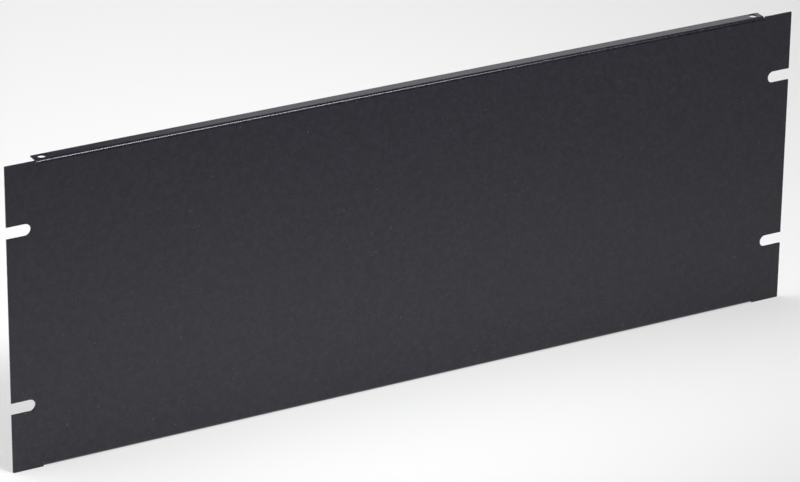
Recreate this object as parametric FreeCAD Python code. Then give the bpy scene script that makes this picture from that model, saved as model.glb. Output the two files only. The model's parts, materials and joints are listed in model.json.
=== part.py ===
import FreeCAD, Part
import os
from math import sin, tan

# A flanged blanking panel for a 19 inch equipment rack, punched and folded from one sheet of steel.
#
# Millimetres. The origin is the middle of the four screw places, in the plane where the ears rest
# on the rack's rails. X runs along the panel, the front looks towards -Y, and +Z is up.

# What the rack sets
RACK_UNIT_HEIGHT = 44.45
UNITS_COVERED = 4               # units that the panel closes
HEIGHT_GAP = 0.8                # the panel is this much lower than those units
PANEL_WIDTH = 482.6             # 19 inches, over the ears
SCREW_LINE_INSET = 8.75         # from a side edge in to the rail's line of screws
SCREW_ROW_INSET = 38.1          # from the end of the covered units in to the nearest row of screws

# The sheet and its folds
SHEET = 1.0                     # thickness of the steel
BEND_INNER_RADIUS = 1.0         # inside of each fold
FLANGE_FLAT = 6.0               # flat part of a flange, behind the fold
EAR_WIDTH = 18.0                # from a side edge in to the flange's end
CORNER_RADIUS = 0.5             # the ears' deburred corners
RELIEF_WIDTH = 0.3              # slit that frees a flange from the ear beside it
RELIEF_OVERRUN = 0.5            # how far the slit runs on past the fold

# The punched openings
SLOT_WIDTH = 6.8                # screw slot, open at the side edge
SLOT_REACH = 5.15               # from the line of screws in to the slot's round end
FLANGE_HOLE_DIAMETER = 4.4
FLANGE_HOLE_INSET = 5.0         # from a flange's end in to the middle of its hole

# What follows from these sizes
covered_height = UNITS_COVERED * RACK_UNIT_HEIGHT
top_edge = (covered_height - HEIGHT_GAP) / 2
side_edge = PANEL_WIDTH / 2
screw_line = side_edge - SCREW_LINE_INSET
screw_row = covered_height / 2 - SCREW_ROW_INSET
seat_plane = 0.0
front_face = seat_plane - SHEET
bend_outer_radius = BEND_INNER_RADIUS + SHEET
flange_start = front_face + bend_outer_radius
flange_back = flange_start + FLANGE_FLAT
flange_end = side_edge - EAR_WIDTH
relief_outer = flange_end + RELIEF_WIDTH
relief_depth = bend_outer_radius + RELIEF_OVERRUN
punch_travel = 2 * SHEET        # a punch starts and ends this far from the sheet

LEFT_AND_RIGHT = (-1, 1)
BOTTOM_AND_TOP = (-1, 1)
SAME_POINT = 1e-7               # points nearer than this are one
SHARP_JOIN = 2                  # the offset's way of keeping corners sharp


def corner_arc(before, corner, after, radius):
    """Start, middle and end of the arc that rounds one corner."""
    back = (before - corner).normalize()
    onward = (after - corner).normalize()
    half_angle = back.getAngle(onward) / 2
    straight = radius / tan(half_angle)
    inward = (back + onward).normalize() * (radius / sin(half_angle) - radius)
    return corner + back * straight, corner + inward, corner + onward * straight


def rounded_wire(corners, closed):
    """A flat wire through corners given as (point, radius), with a true arc where the radius isn't 0."""
    points = [point for point, radius in corners]
    arrivals, departures, edges = [], [], []
    for place, (point, radius) in enumerate(corners):
        if radius == 0:
            arrivals.append(point)
            departures.append(point)
            continue
        after = points[(place + 1) % len(points)]
        start, middle, end = corner_arc(points[place - 1], point, after, radius)
        edges.append(Part.Arc(start, middle, end).toShape())
        arrivals.append(start)
        departures.append(end)
    runs = len(points) if closed else len(points) - 1
    for place in range(runs):
        start, end = departures[place], arrivals[(place + 1) % len(points)]
        if not start.isEqual(end, SAME_POINT):
            edges.append(Part.LineSegment(start, end).toShape())
    return Part.Wire(Part.__sortEdges__(edges))


def flat_front():
    """The ears and the web between them, with bays at top and bottom where the flanges fold back."""
    upper_right = [
        (relief_outer, top_edge - relief_depth, 0),
        (relief_outer, top_edge, 0),
        (side_edge, top_edge, CORNER_RADIUS),
    ]
    right = upper_right + [(x, -z, radius) for x, z, radius in reversed(upper_right)]
    outline = right + [(-x, z, radius) for x, z, radius in reversed(right)]
    corners = [(FreeCAD.Vector(x, front_face, z), radius) for x, z, radius in outline]
    face = Part.Face(rounded_wire(corners, closed=True))
    return face.extrude(FreeCAD.Vector(0, SHEET, 0))


def folded_channel():
    """The web with both flanges, drawn as the outside line of its section and thickened inwards."""
    line = [
        (flange_back, top_edge, 0),
        (front_face, top_edge, bend_outer_radius),
        (front_face, -top_edge, bend_outer_radius),
        (flange_back, -top_edge, 0),
    ]
    corners = [(FreeCAD.Vector(-flange_end, y, z), radius) for y, z, radius in line]
    outside = rounded_wire(corners, closed=False)
    section = outside.makeOffset2D(-SHEET, join=SHARP_JOIN, fill=True, openResult=True)
    return section.extrude(FreeCAD.Vector(2 * flange_end, 0, 0))


def slot_punch(side, row):
    """Punch for one screw slot: a full round end, and straight sides that run out past the edge."""
    inner_end = screw_line - SLOT_REACH
    outer_end = side_edge + punch_travel
    half_width = SLOT_WIDTH / 2
    outline = [
        (outer_end, half_width, 0),
        (inner_end, half_width, half_width),
        (inner_end, -half_width, half_width),
        (outer_end, -half_width, 0),
    ]
    start = front_face - punch_travel
    corners = [
        (FreeCAD.Vector(side * x, start, row * screw_row + z), radius)
        for x, z, radius in outline
    ]
    face = Part.Face(rounded_wire(corners, closed=True))
    return face.extrude(FreeCAD.Vector(0, SHEET + 2 * punch_travel, 0))


def flange_hole_punch(side, row):
    """Round punch for the hole near one end of a flange, in the middle of its flat part."""
    x = side * (flange_end - FLANGE_HOLE_INSET)
    y = (flange_start + flange_back) / 2
    z = row * (top_edge + punch_travel)
    into_panel = FreeCAD.Vector(0, 0, -row)
    stroke = SHEET + 2 * punch_travel
    return Part.makeCylinder(FLANGE_HOLE_DIAMETER / 2, stroke, FreeCAD.Vector(x, y, z), into_panel)


def panel():
    """The finished sheet: front and channel in one, with every slot and hole punched through."""
    punches = [
        punch(side, row)
        for punch in (slot_punch, flange_hole_punch)
        for side in LEFT_AND_RIGHT
        for row in BOTTOM_AND_TOP
    ]
    sheet = flat_front().fuse(folded_channel()).removeSplitter()
    return sheet.cut(punches)


os.makedirs("parts", exist_ok=True)
shape = panel()
if len(shape.Solids) != 1 or not shape.isValid():
    raise ValueError("the panel isn't one sound solid")
shape.Solids[0].exportStep("parts/panel.step")

box = shape.BoundBox
print(f"panel: {box.XLength:.2f} x {box.YLength:.2f} x {box.ZLength:.2f} mm")
print(f"faces: {len(shape.Faces)}, volume: {shape.Volume:.1f} cubic mm")
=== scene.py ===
# %% [markdown]
# # A blanking panel, cut flat and folded
#
# The object is a rack blanking panel: one thin steel sheet, punched, folded along its top and
# bottom, and powder coated black. This lesson makes it the way the workshop does. We draw the
# flat blank, give it its thickness, fold it by a formula, and then spend most of our care on the
# coat and on the light, because a plain black sheet is only as good as its surface.
#
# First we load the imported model. It is the frame that everything is placed in, in metres: X along
# the panel, the front towards -Y, Z up, and Y = 0 in the plane where the ears meet the rack.

import json
from math import cos, pi, radians, sin

import bmesh
import bpy
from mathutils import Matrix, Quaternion, Vector


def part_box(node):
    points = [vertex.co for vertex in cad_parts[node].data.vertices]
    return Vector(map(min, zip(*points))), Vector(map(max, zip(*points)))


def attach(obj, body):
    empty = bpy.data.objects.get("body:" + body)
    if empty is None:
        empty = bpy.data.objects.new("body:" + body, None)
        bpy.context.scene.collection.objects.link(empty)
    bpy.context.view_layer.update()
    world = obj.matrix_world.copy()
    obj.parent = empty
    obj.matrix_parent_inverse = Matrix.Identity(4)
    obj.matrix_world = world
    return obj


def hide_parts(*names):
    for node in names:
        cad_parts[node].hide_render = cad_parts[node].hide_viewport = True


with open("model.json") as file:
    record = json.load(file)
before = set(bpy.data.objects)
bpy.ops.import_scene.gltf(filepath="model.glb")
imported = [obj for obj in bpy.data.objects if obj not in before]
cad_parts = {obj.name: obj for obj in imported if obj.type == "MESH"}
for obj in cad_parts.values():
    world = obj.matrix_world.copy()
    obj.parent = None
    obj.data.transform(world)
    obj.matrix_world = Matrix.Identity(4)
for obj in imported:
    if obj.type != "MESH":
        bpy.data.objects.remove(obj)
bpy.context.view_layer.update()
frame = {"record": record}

MM = 0.001

# %% [markdown]
# ## Sizes
#
# Most sizes come from the frame, so the dressed panel can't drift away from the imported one. The
# box gives width, height, depth and the sheet's thickness (the front face is one thickness in
# front of Y = 0). The mounts give the slots and the flange holes. The few sizes that neither
# holds are the workshop's own: the fold radius, the slit beside each flange, the deburred corner.

# %% Sizes from the frame
mounts = {mount["name"]: mount for mount in frame["record"]["mounts"]}
slots = mounts["rack_slots"]["dims"]
flange_holes = mounts["top_flange_holes"]["dims"]

low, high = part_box("panel")
half_width = high.x
half_height = high.z
front = low.y
flange_back = high.y
sheet = -front

slot_radius = slots["hole_r_mm"] * MM
slot_row = slots["spacing_y_mm"] / 2 * MM
slot_inner_end = half_width - slots["slot_length_mm"] * MM
hole_radius = flange_holes["hole_r_mm"] * MM
hole_x = flange_holes["spacing_x_mm"] / 2 * MM
hole_y = mounts["top_flange_holes"]["pos_m"][1]
print(f"slots {2 * slot_radius / MM:.1f} mm wide, flange holes {2 * hole_radius / MM:.1f} mm")

# %% Sizes from the workshop
FOLD_INNER_RADIUS = 1.0 * MM
HOLE_TO_FLANGE_END = 5.0 * MM
RELIEF_WIDTH = 0.3 * MM
RELIEF_PAST_FOLD = 0.5 * MM
CORNER_RADIUS = 0.5 * MM
EDGE_ROUNDING = 0.2 * MM

fold_outer_radius = FOLD_INNER_RADIUS + sheet
fold_middle_radius = FOLD_INNER_RADIUS + sheet / 2
flange_end = hole_x + HOLE_TO_FLANGE_END
print(f"sheet {sheet / MM:.2f} mm, flanges {2 * flange_end / MM:.1f} mm long")

# %% [markdown]
# ## The flat blank
#
# A folded part starts as a flat blank, and that is the easiest thing to draw: one outline and four
# round holes. We could box-model the folded panel straight away, but every slot, slit and hole
# would then be a boolean. Drawn flat, they are only points on a line.
#
# The one number to work out is how long the blank must be. The sheet stretches outside a fold and
# squeezes inside it, and its middle keeps its length, so a quarter turn uses up a quarter of a
# circle at the middle radius.

# %% How tall the blank is before folding
QUARTER_TURN = pi / 2

fold_start = half_height - fold_outer_radius
fold_length = fold_middle_radius * QUARTER_TURN
flange_flat = flange_back - (front + fold_outer_radius)
blank_half_height = fold_start + fold_length + flange_flat
relief_bottom = fold_start - RELIEF_PAST_FOLD
relief_outer = flange_end + RELIEF_WIDTH
print(f"the blank is {2 * blank_half_height / MM:.2f} mm tall")
print(f"the folded panel is {2 * half_height / MM:.1f} mm tall")

# %% [markdown]
# The panel has the same shape in all four quarters. So we draw the outline of the upper right
# quarter only, from the middle of the right edge to the middle of the top edge, and mirror it.

# %% Draw one quarter of the outline
SLOT_END_STEPS = 32
CORNER_STEPS = 6


def arc(centre, radius, start, end, steps):
    """Points on an arc about centre, from one angle to another, in degrees."""
    x, y = centre
    angles = [radians(start + (end - start) * step / steps) for step in range(steps + 1)]
    return [(x + radius * cos(angle), y + radius * sin(angle)) for angle in angles]


def quarter_outline():
    """Upper right quarter of the blank: side edge, slot, corner, ear, slit, and flange."""
    slot_centre = (slot_inner_end + slot_radius, slot_row)
    slot_end = arc(slot_centre, slot_radius, start=270, end=90, steps=SLOT_END_STEPS)
    corner_centre = (half_width - CORNER_RADIUS, half_height - CORNER_RADIUS)
    corner = arc(corner_centre, CORNER_RADIUS, start=0, end=90, steps=CORNER_STEPS)
    return [
        (half_width, slot_row - slot_radius),
        *slot_end,
        (half_width, slot_row + slot_radius),
        *corner,
        (relief_outer, half_height),
        (relief_outer, relief_bottom),
        (flange_end, relief_bottom),
        (flange_end, blank_half_height),
    ]


def mirrored(points, across_x, across_y):
    """The points mirrored, and turned round if one mirroring has reversed their order."""
    flipped = [(x * across_x, y * across_y) for x, y in points]
    return flipped if across_x == across_y else flipped[::-1]


quarter = quarter_outline()
outline = (
    mirrored(quarter, 1, 1) + mirrored(quarter, -1, 1)
    + mirrored(quarter, -1, -1) + mirrored(quarter, 1, -1)
)
print(f"the outline has {len(outline)} points")

# %% [markdown]
# The flange holes are punched while the sheet is still flat. Folding doesn't stretch the part of a
# flange behind the fold, so a hole is as far past the fold on the blank as on the finished panel.

# %% Place the four flange holes on the blank
HOLE_STEPS = 48

hole_height = fold_start + fold_length + hole_y - (front + fold_outer_radius)
full_circles = [
    arc((side * hole_x, row * hole_height), hole_radius, start=0, end=360, steps=HOLE_STEPS)
    for side in (-1, 1)
    for row in (-1, 1)
]
hole_outlines = [circle[:-1] for circle in full_circles]    # a closed line needs no repeated end
hole_margin = blank_half_height - hole_height
print(f"{len(hole_outlines)} flange holes, {hole_margin / MM:.2f} mm from the blank's edge")

# %% [markdown]
# ## From a line to a sheet
#
# A flat curve in Blender fills itself, holes and all, and it can be given a thickness and a rounded
# edge at once. That is just what a punched and coated sheet needs: a powder coat never leaves a
# knife edge, and the small round along every cut is what catches the light. The offset draws the
# line in by as much as the rounding swells it, so that the sizes stay true.

# %% Fill the blank and give it its thickness
EDGE_STEPS = 3


def sheet_from_lines(name, lines):
    """A flat sheet with rounded edges, as a mesh, from closed lines in the XY plane."""
    curve = bpy.data.curves.new(name, "CURVE")
    curve.dimensions = "2D"
    curve.fill_mode = "BOTH"
    curve.extrude = sheet / 2 - EDGE_ROUNDING
    curve.bevel_depth = EDGE_ROUNDING
    curve.bevel_resolution = EDGE_STEPS
    curve.offset = -EDGE_ROUNDING
    for line in lines:
        spline = curve.splines.new("POLY")
        spline.points.add(len(line) - 1)
        for point, (x, y) in zip(spline.points, line):
            point.co = (x, y, 0, 1)
        spline.use_cyclic_u = True
    holder = bpy.data.objects.new(name, curve)
    bpy.context.scene.collection.objects.link(holder)
    evaluated = holder.evaluated_get(bpy.context.evaluated_depsgraph_get())
    mesh = bpy.data.meshes.new_from_object(evaluated)
    bpy.data.objects.remove(holder)
    return mesh


blank = sheet_from_lines("blank", [outline, *hole_outlines])
print(f"the flat blank has {len(blank.vertices)} points and {len(blank.polygons)} faces")

# %% [markdown]
# ## Folding
#
# The blank has no points in the middle of its faces, so it can't bend yet. We slice it along thin
# parallel lines where each fold will be, a slice for every few degrees of the turn. Then one
# function says where a point of the blank ends up: a point below the fold stays in the front,
# a point in the fold goes round the arc, and a point beyond it lies in the flange. The distance
# of the point from the middle of the sheet is kept all the way, which is what makes the inside of
# the fold tight and the outside round.
#
# Slicing a filled curve leaves some dirt: points a thousandth of a millimetre apart, and thin faces
# with no area. They would show as black nicks in the coat and as stray faces in an exported mesh,
# so we merge and dissolve them while the sheet is still flat.

# %% Slice the blank where it folds
FOLD_SLICES = 16
MERGE_DISTANCE = 0.002 * MM
CUT_TOLERANCE = MERGE_DISTANCE / 10

work = bmesh.new()
work.from_mesh(blank)
bmesh.ops.remove_doubles(work, verts=work.verts, dist=MERGE_DISTANCE)
for row in (-1, 1):
    for number in range(FOLD_SLICES + 1):
        height = row * (fold_start + fold_length * number / FOLD_SLICES)
        everything = work.verts[:] + work.edges[:] + work.faces[:]
        bmesh.ops.bisect_plane(
            work, geom=everything, dist=CUT_TOLERANCE,
            plane_co=(0, height, 0), plane_no=(0, 1, 0),
        )
print(f"sliced, it has {len(work.verts)} points")

# %% [markdown]
# A few thin faces stay even so: the ends of the left and right slots lie on one straight line, and
# the fill joins them into faces with no height. Nothing needs to be cut there. Turning such a
# face's longest edge, so that it runs to the neighbour's far corner, makes two good faces of them.

# %% Clean up after the slicing
SLIVER_HEIGHT = 0.001 * MM
MOST_TURNS = 50


def thinness(face):
    """How high a face stands on its longest edge, and that edge."""
    longest = max(face.edges, key=lambda edge: edge.calc_length())
    return 2 * face.calc_area() / longest.calc_length(), longest


bmesh.ops.remove_doubles(work, verts=work.verts, dist=MERGE_DISTANCE)
bmesh.ops.dissolve_degenerate(work, edges=work.edges, dist=MERGE_DISTANCE)
bmesh.ops.triangulate(work, faces=work.faces)
for turns in range(MOST_TURNS):
    height, longest = min(map(thinness, work.faces), key=lambda pair: pair[0])
    if height > SLIVER_HEIGHT:
        break
    bmesh.utils.edge_rotate(longest)
print(f"cleaned, it has {len(work.faces)} triangles, after turning {turns} edges")


# %% Fold it
def folded(point):
    """Where a point of the blank goes. Its y is up the blank and its z out to the front."""
    middle = front + sheet / 2
    side = 1 if point.y > 0 else -1
    past_start = abs(point.y) - fold_start
    in_an_ear = abs(point.x) > flange_end + RELIEF_WIDTH / 2
    if past_start <= 0 or in_an_ear:
        return Vector((point.x, middle - point.z, point.y))
    turn = min(past_start / fold_length, 1) * QUARTER_TURN
    beyond = max(past_start - fold_length, 0)
    radius = fold_middle_radius + point.z
    centre_y = front + fold_outer_radius
    y = centre_y - radius * cos(turn) + beyond
    z = fold_start + radius * sin(turn)
    return Vector((point.x, y, side * z))


for point in work.verts:
    point.co = folded(point.co)
bmesh.ops.recalc_face_normals(work, faces=work.faces)
open_edges = [edge for edge in work.edges if len(edge.link_faces) != 2]
print(f"after folding, {len(open_edges)} edges are open")

# %% [markdown]
# The folded mesh becomes the panel. It stands in for the imported solid named panel, which is
# hidden, and rides on the one body there is. Its finish is the powder coat made below. Smooth
# shading alone would bleed the rounded edges into the big flat front, so the normals are weighted
# by face area: the flats stay flat, and only the folds and the small edge rounds turn.

# %% Make the panel
FACE_AREA_WEIGHT = 100

panel_mesh = bpy.data.meshes.new("folded_panel")
work.to_mesh(panel_mesh)
work.free()
bpy.data.meshes.remove(blank)
panel = bpy.data.objects.new("folded_panel", panel_mesh)
bpy.context.scene.collection.objects.link(panel)
panel_mesh.shade_smooth()
weighted = panel.modifiers.new("flat faces stay flat", "WEIGHTED_NORMAL")
weighted.weight = FACE_AREA_WEIGHT
weighted.keep_sharp = True

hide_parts("panel")
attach(panel, "root")
print("panel box, mm:", [round(v / MM, 3) for v in panel.dimensions])

# %% [markdown]
# ## Small effects, made once
#
# A powder coat is sprayed on dry and then melts into a skin. The skin is never quite flat: it has a
# fine grain, and under that a long, soft waviness that coaters call orange peel. We could draw
# both in each material, but paper has a grain too, only shallower. So the grain becomes a node
# group with named inputs and outputs. It is built once, and each material sets its own sizes.
#
# The group gives two things. Height goes into a bump. Shade runs from 0 in the hollows to 1 on the
# rises, and a material can use it to change its colour or its roughness a little.


# %% Helpers for nodes
def new_group(name, inputs, outputs):
    """An empty shader group with number sockets. Returns the group and its two end nodes."""
    group = bpy.data.node_groups.new(name, "ShaderNodeTree")
    number = "NodeSocketFloat"
    for socket_name, default in inputs.items():
        socket = group.interface.new_socket(socket_name, in_out="INPUT", socket_type=number)
        socket.default_value = default
    for socket_name in outputs:
        group.interface.new_socket(socket_name, in_out="OUTPUT", socket_type=number)
    return group, group.nodes.new("NodeGroupInput"), group.nodes.new("NodeGroupOutput")


def math_node(tree, operation, first, second, clamp=False):
    """A Math node. Each input is a number or the socket that feeds it. Returns its output."""
    node = tree.nodes.new("ShaderNodeMath")
    node.operation = operation
    node.use_clamp = clamp
    for socket, value in zip(node.inputs, (first, second)):
        if isinstance(value, bpy.types.NodeSocket):
            tree.links.new(value, socket)
        else:
            socket.default_value = value
    return node.outputs[0]


def place_group(tree, group, **values):
    """One copy of a group in a material, with its own values."""
    node = tree.nodes.new("ShaderNodeGroup")
    node.node_tree = group
    for name, value in values.items():
        node.inputs[name.replace("_", " ")].default_value = value
    return node


print("helpers for groups, sums and placing are ready")

# %% Grain: a fine tooth over a long soft waviness
NOISE_MIDDLE = 0.5
TOOTH_DETAIL = 2.0
WAVE_DETAIL = 1.0


def make_grain_group():
    """Two noises added: the fine tooth, and a share of the long wave."""
    group, start, end = new_group(
        "surface grain",
        {"Tooth Size": 1.0 * MM, "Wave Size": 3.0 * MM, "Wave Share": 0.5, "Contrast": 1.0},
        ["Height", "Shade"],
    )
    place = group.nodes.new("ShaderNodeTexCoord")
    layers = []
    for size_name, detail in (("Tooth Size", TOOTH_DETAIL), ("Wave Size", WAVE_DETAIL)):
        noise = group.nodes.new("ShaderNodeTexNoise")
        noise.inputs["Detail"].default_value = detail
        scale = math_node(group, "DIVIDE", 1.0, start.outputs[size_name])
        group.links.new(place.outputs["Object"], noise.inputs["Vector"])
        group.links.new(scale, noise.inputs["Scale"])
        layers.append(math_node(group, "SUBTRACT", noise.outputs["Fac"], NOISE_MIDDLE))
    tooth, wave = layers
    wave = math_node(group, "MULTIPLY", wave, start.outputs["Wave Share"])
    height = math_node(group, "ADD", tooth, wave)
    shade = math_node(group, "MULTIPLY", height, start.outputs["Contrast"])
    shade = math_node(group, "ADD", shade, NOISE_MIDDLE, clamp=True)
    group.links.new(height, end.inputs["Height"])
    group.links.new(shade, end.inputs["Shade"])
    return group


grain = make_grain_group()
print("made the group:", grain.name)

# %% [markdown]
# Here and there a coat has a nib: a grain of powder that melted late, or a speck of dust that was
# sprayed in. A cell pattern scatters them. Each cell has one point, and only a point that happens
# to lie in the surface shows, so the nibs come out in all sizes and with bare stretches between.


# %% Nibs: small dots scattered unevenly, as a mask
def make_nib_group():
    """1 in the middle of each nib, down to 0 at its rim and in all the coat between."""
    group, start, end = new_group(
        "scattered nibs", {"Spacing": 4.0 * MM, "Radius": 0.3 * MM}, ["Mask"],
    )
    place = group.nodes.new("ShaderNodeTexCoord")
    cells = group.nodes.new("ShaderNodeTexVoronoi")
    scale = math_node(group, "DIVIDE", 1.0, start.outputs["Spacing"])
    group.links.new(place.outputs["Object"], cells.inputs["Vector"])
    group.links.new(scale, cells.inputs["Scale"])
    reach = math_node(group, "DIVIDE", start.outputs["Radius"], start.outputs["Spacing"])
    nearness = math_node(group, "DIVIDE", cells.outputs["Distance"], reach)
    mask = math_node(group, "SUBTRACT", 1.0, nearness, clamp=True)
    group.links.new(mask, end.inputs["Mask"])
    return group


nibs = make_nib_group()
print("made the group:", nibs.name)

# %% [markdown]
# ## The powder coat
#
# Black powder isn't pure black. It is a very dark, slightly violet grey, and most of the light that
# comes off it is a soft reflection from the skin. So the colour is written very low, and the gloss
# is a satin one: sharp enough to draw a fine bright line along a fold, and soft enough that the
# big front shows no picture of the room.
#
# The grain works three times: as a bump, as a little more or less gloss, and as a slight cloudiness
# in the colour, because the hollows of the skin give back less light than its rises. A flat
# colour would do for a drawing, but up close it would look like plastic film.


# %% A helper that mixes two colours
def mix_colours(tree, factor, first, second):
    """A colour between two others. Each is a colour or the socket that feeds it."""
    node = tree.nodes.new("ShaderNodeMix")
    node.data_type = "RGBA"
    colour_inputs = [socket for socket in node.inputs if socket.type == "RGBA"]
    for socket, value in zip(colour_inputs, (first, second)):
        if isinstance(value, bpy.types.NodeSocket):
            tree.links.new(value, socket)
        else:
            socket.default_value = value
    tree.links.new(factor, node.inputs["Factor"])
    return next(socket for socket in node.outputs if socket.type == "RGBA")


print("the colour mixer is ready")

# %% The coat's colours, gloss and sizes
COAT_HOLLOW_COLOUR = (0.0045, 0.0034, 0.0105, 1)
COAT_RISE_COLOUR = (0.0185, 0.0158, 0.0270, 1)
NIB_COLOUR = (0.16, 0.16, 0.17, 1)
COAT_ROUGHNESS = 0.24
COAT_SPECULAR = 0.46
ROUGHNESS_SPREAD = 0.06
GRAIN_DEPTH = 0.005 * MM
TOOTH_SIZE = 0.9 * MM
WAVE_SIZE = 3.0 * MM
WAVE_SHARE = 1.4
GRAIN_CONTRAST = 1.0
NIB_SPACING = 9.0 * MM
NIB_RADIUS = 0.45 * MM
print(f"grain {TOOTH_SIZE / MM:.1f} mm across, {GRAIN_DEPTH / MM:.3f} mm deep")


# %% Mix the powder coat
def make_powder_coat():
    """The panel's one material: very dark, satin, grained, with a few nibs."""
    material = bpy.data.materials.new("satin_black_coat")
    material.use_nodes = True
    tree = material.node_tree
    shader = tree.nodes["Principled BSDF"]
    shader.inputs["Specular IOR Level"].default_value = COAT_SPECULAR

    skin = place_group(
        tree, grain, Tooth_Size=TOOTH_SIZE, Wave_Size=WAVE_SIZE,
        Wave_Share=WAVE_SHARE, Contrast=GRAIN_CONTRAST,
    )
    bump = tree.nodes.new("ShaderNodeBump")
    bump.inputs["Distance"].default_value = GRAIN_DEPTH
    tree.links.new(skin.outputs["Height"], bump.inputs["Height"])
    tree.links.new(bump.outputs["Normal"], shader.inputs["Normal"])

    duller = math_node(tree, "MULTIPLY", skin.outputs["Shade"], ROUGHNESS_SPREAD)
    smoothest = COAT_ROUGHNESS - ROUGHNESS_SPREAD / 2
    tree.links.new(math_node(tree, "ADD", duller, smoothest), shader.inputs["Roughness"])

    dots = place_group(tree, nibs, Spacing=NIB_SPACING, Radius=NIB_RADIUS)
    cloudy = mix_colours(tree, skin.outputs["Shade"], COAT_HOLLOW_COLOUR, COAT_RISE_COLOUR)
    colour = mix_colours(tree, dots.outputs["Mask"], cloudy, NIB_COLOUR)
    tree.links.new(colour, shader.inputs["Base Color"])
    return material


powder_coat = make_powder_coat()
panel.data.materials.append(powder_coat)
print("the panel wears", [m.name for m in panel.data.materials])

# %% [markdown]
# ## The floor
#
# The panel stands on its bottom flange, on a wide sheet of matt white paper. A satin black surface
# looks like whatever it reflects, and the front mostly reflects the paper before it, so the floor
# is part of the panel's own look.
#
# Three small lamps can't light a wide floor: a metre away it would fade to a dull grey. So a share
# of the paper is plain white to anyone who looks at it, whatever light falls there. Light Path
# tells who is looking. The camera sees that white, and so do reflections and clear things, because
# a panel that mirrored a darker floor than the one it stands on would look pasted in. The light
# that bounces from the paper onto the panel isn't changed, and the rest of the paper keeps the
# panel's shadow.

# %% Make the paper
PAPER_COLOUR = (0.93, 0.93, 0.93, 1)
PAPER_ROUGHNESS = 0.9
PAPER_TOOTH_SIZE = 1.2 * MM
PAPER_WAVE_SIZE = 8.0 * MM
PAPER_TOOTH_DEPTH = 0.02 * MM
WHITE_SHARE = 0.40


def make_paper():
    """Matt white paper, of which a share is plain white to whoever looks at it."""
    material = bpy.data.materials.new("floor_paper")
    material.use_nodes = True
    tree = material.node_tree
    shader = tree.nodes["Principled BSDF"]
    shader.inputs["Base Color"].default_value = PAPER_COLOUR
    shader.inputs["Roughness"].default_value = PAPER_ROUGHNESS
    tooth = place_group(tree, grain, Tooth_Size=PAPER_TOOTH_SIZE, Wave_Size=PAPER_WAVE_SIZE)
    bump = tree.nodes.new("ShaderNodeBump")
    bump.inputs["Distance"].default_value = PAPER_TOOTH_DEPTH
    tree.links.new(tooth.outputs["Height"], bump.inputs["Height"])
    tree.links.new(bump.outputs["Normal"], shader.inputs["Normal"])

    rays = tree.nodes.new("ShaderNodeLightPath")
    seen = math_node(tree, "MAXIMUM", rays.outputs["Is Camera Ray"], rays.outputs["Is Glossy Ray"])
    seen = math_node(tree, "MAXIMUM", seen, rays.outputs["Is Transmission Ray"])
    share = math_node(tree, "MULTIPLY", seen, WHITE_SHARE)
    white = tree.nodes.new("ShaderNodeEmission")    # a new one is white, with a strength of 1
    blend = tree.nodes.new("ShaderNodeMixShader")
    factor, paper_side, white_side = blend.inputs
    tree.links.new(share, factor)
    tree.links.new(shader.outputs["BSDF"], paper_side)
    tree.links.new(white.outputs["Emission"], white_side)
    tree.links.new(blend.outputs["Shader"], tree.nodes["Material Output"].inputs["Surface"])
    return material


paper = make_paper()
print("made the material:", paper.name)

# %% Lay the floor
FLOOR_SIZE = 24.0


def make_floor():
    """One square of paper, level with the panel's lowest edge."""
    half = FLOOR_SIZE / 2
    square = ((-half, -half), (half, -half), (half, half), (-half, half))
    corners = [(x, y, low.z) for x, y in square]
    mesh = bpy.data.meshes.new("floor")
    mesh.from_pydata(corners, [], [(0, 1, 2, 3)])
    mesh.materials.append(paper)
    floor = bpy.data.objects.new("floor", mesh)
    bpy.context.scene.collection.objects.link(floor)
    return floor


floor = make_floor()
print(f"the floor lies at {floor.data.vertices[0].co.z / MM:.1f} mm, {FLOOR_SIZE:.0f} m across")

# %% [markdown]
# ## The light
#
# A black sheet is lit by its reflections, so each lamp has one job. We work out where a lamp
# must stand with a mirror held against the surface: from the camera, off the mirror, and on to
# where the lamp has to be.
#
# - The front softbox is a narrow strip, high in front. The round of the top fold reflects it as a
#   fine bright line. It has a grid on it (a small spread), so its light makes a pool on the paper
#   round the panel. The front mirrors that paper, and fades a little towards its top as the pool
#   does. Without the grid the front would be as flat as card.
# - The rear softbox stands low behind, on the right. The flat of the top flange reflects it, more
#   towards its right end.
# - The floor softbox hangs above, behind and to the left, where nothing on the panel reflects it
#   to the camera. It lights the paper.
#
# Two soft shadows tie the panel to the floor: the front softbox throws one behind it, and the
# floor softbox a fainter one in front.
#
# The world adds a weak, even light from all round. Because it is weak, the round of the fold stays
# dark above and below its bright line, and the line stands out.

# %% The even light from all round
AMBIENT = 0.15
AMBIENT_COLOUR = (1, 1, 1, 1)


def make_world():
    """A plain white world, as weak as AMBIENT says."""
    world = bpy.data.worlds.new("studio")
    bpy.context.scene.world = world
    world.use_nodes = True
    background = world.node_tree.nodes["Background"]
    background.inputs["Color"].default_value = AMBIENT_COLOUR
    background.inputs["Strength"].default_value = AMBIENT
    return world


world = make_world()
print(f"the world {world.name} gives {AMBIENT:.2f} from every side")


# %% The three softboxes
def softbox(name, place, target, width, height, watts, spread):
    """A rectangular lamp at place, in metres, turned to target. The spread is in degrees."""
    lamp = bpy.data.lights.new(name, "AREA")
    lamp.shape = "RECTANGLE"
    lamp.size = width
    lamp.size_y = height
    lamp.energy = watts
    lamp.spread = radians(spread)
    holder = bpy.data.objects.new(name, lamp)
    bpy.context.scene.collection.objects.link(holder)
    holder.location = place
    direction = Vector(target) - Vector(place)
    holder.rotation_mode = "QUATERNION"
    holder.rotation_quaternion = direction.to_track_quat("-Z", "Y")
    holder.visible_camera = False
    return holder


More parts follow.
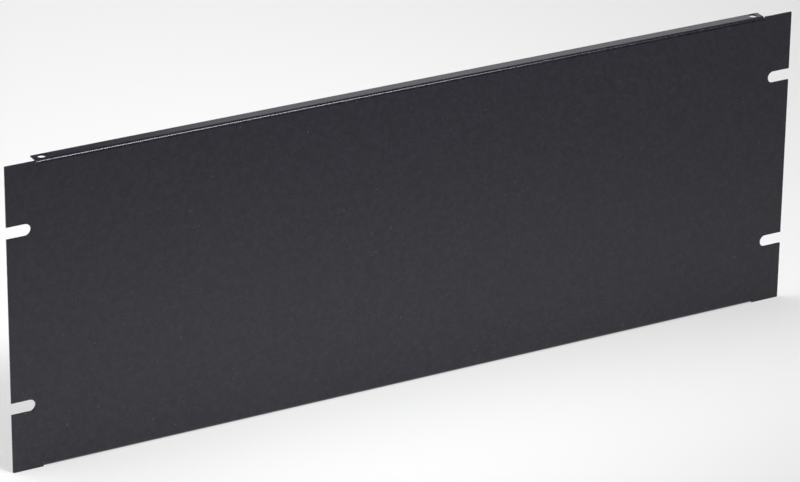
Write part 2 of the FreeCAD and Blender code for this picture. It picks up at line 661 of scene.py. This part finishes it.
lamps = [
    softbox(
        "front_softbox", place=(0.22, -0.60, 0.95), target=(-0.05, -0.05, 0.05),
        width=0.7, height=0.16, watts=0.92, spread=42,
    ),
    softbox(
        "rear_softbox", place=(0.885, 0.965, 0.58), target=(0.1, 0, 0),
        width=1.05, height=0.35, watts=1.2, spread=180,
    ),
    softbox(
        "floor_softbox", place=(-0.38, 0.60, 1.3), target=(0.15, 0.48, -0.09),
        width=1.2, height=0.8, watts=3.3, spread=72,
    ),
]
for lamp in lamps:
    print(f"{lamp.name}: {lamp.data.energy:.2f} W at {lamp.location.length:.2f} m")

# %% [markdown]
# ## The camera
#
# The panel is seen from the left and from above, through a long lens a good two metres away, so
# that its long edges run nearly parallel and the flange shows above the front. The lens is as
# long as it takes for the panel to fill the width of the frame. The camera leans by less than a
# degree, as a hand-levelled tripod does.

# %% Place the camera
CAMERA_AZIMUTH = radians(-28.87)
CAMERA_ELEVATION = radians(24.36)
CAMERA_ROLL = radians(0.675)
CAMERA_DISTANCE = 2.3606        # metres
CAMERA_TARGET = Vector((-0.00876, front, -0.0013))
CAMERA_LENS = 194.6             # lens and sensor in millimetres, as Blender has them
CAMERA_SENSOR = 36
NEAREST_SEEN = 0.05
FURTHEST_SEEN = 50


def make_camera():
    """A camera that looks back at CAMERA_TARGET from the azimuth and elevation above."""
    data = bpy.data.cameras.new("camera")
    data.lens = CAMERA_LENS
    data.sensor_width = CAMERA_SENSOR
    data.clip_start = NEAREST_SEEN
    data.clip_end = FURTHEST_SEEN
    camera = bpy.data.objects.new("camera", data)
    bpy.context.scene.collection.objects.link(camera)
    back = Vector((
        sin(CAMERA_AZIMUTH) * cos(CAMERA_ELEVATION),
        -cos(CAMERA_AZIMUTH) * cos(CAMERA_ELEVATION),
        sin(CAMERA_ELEVATION),
    ))
    camera.location = CAMERA_TARGET + back * CAMERA_DISTANCE
    camera.rotation_mode = "QUATERNION"
    aim = (-back).to_track_quat("-Z", "Y")
    camera.rotation_quaternion = aim @ Quaternion((0, 0, 1), CAMERA_ROLL)
    return camera


camera = make_camera()
bpy.context.scene.camera = camera
bpy.context.scene.view_settings.view_transform = "Standard"
print(f"the camera stands {camera.location.z - low.z:.2f} m above the floor")
